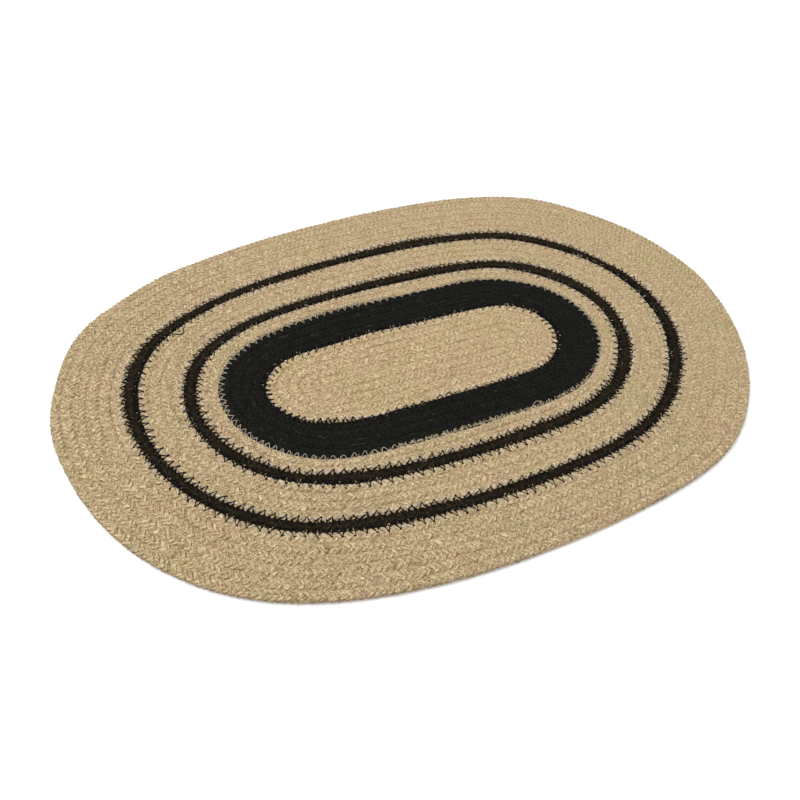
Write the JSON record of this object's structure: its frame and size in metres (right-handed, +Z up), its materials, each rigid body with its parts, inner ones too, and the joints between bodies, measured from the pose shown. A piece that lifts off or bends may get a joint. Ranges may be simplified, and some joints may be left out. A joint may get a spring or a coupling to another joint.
{
  "type": "braided placemat",
  "caption": "Flat oval placemat of sewn jute braid, natural with a wide black band and thin black rings.",
  "frame": {"origin": "centre of the mat's box, on the surface that its flat underside lies on", "axes": "+X along the oval's length, +Y across its width, +Z up out of the face"},
  "size_m": [0.4566, 0.33, 0.004],
  "materials": {
    "natural_jute": "undyed plaited jute, matt and fibrous",
    "black_jute": "black dyed plaited jute, matt and fibrous"
  },
  "bodies": {
    "root": {"natural_centre": "natural_jute", "wide_black_band": "black_jute", "narrow_natural_band": "natural_jute", "inner_black_ring": "black_jute", "middle_natural_band": "natural_jute", "outer_black_ring": "black_jute", "outer_natural_band": "natural_jute"}
  },
  "joints": []
}
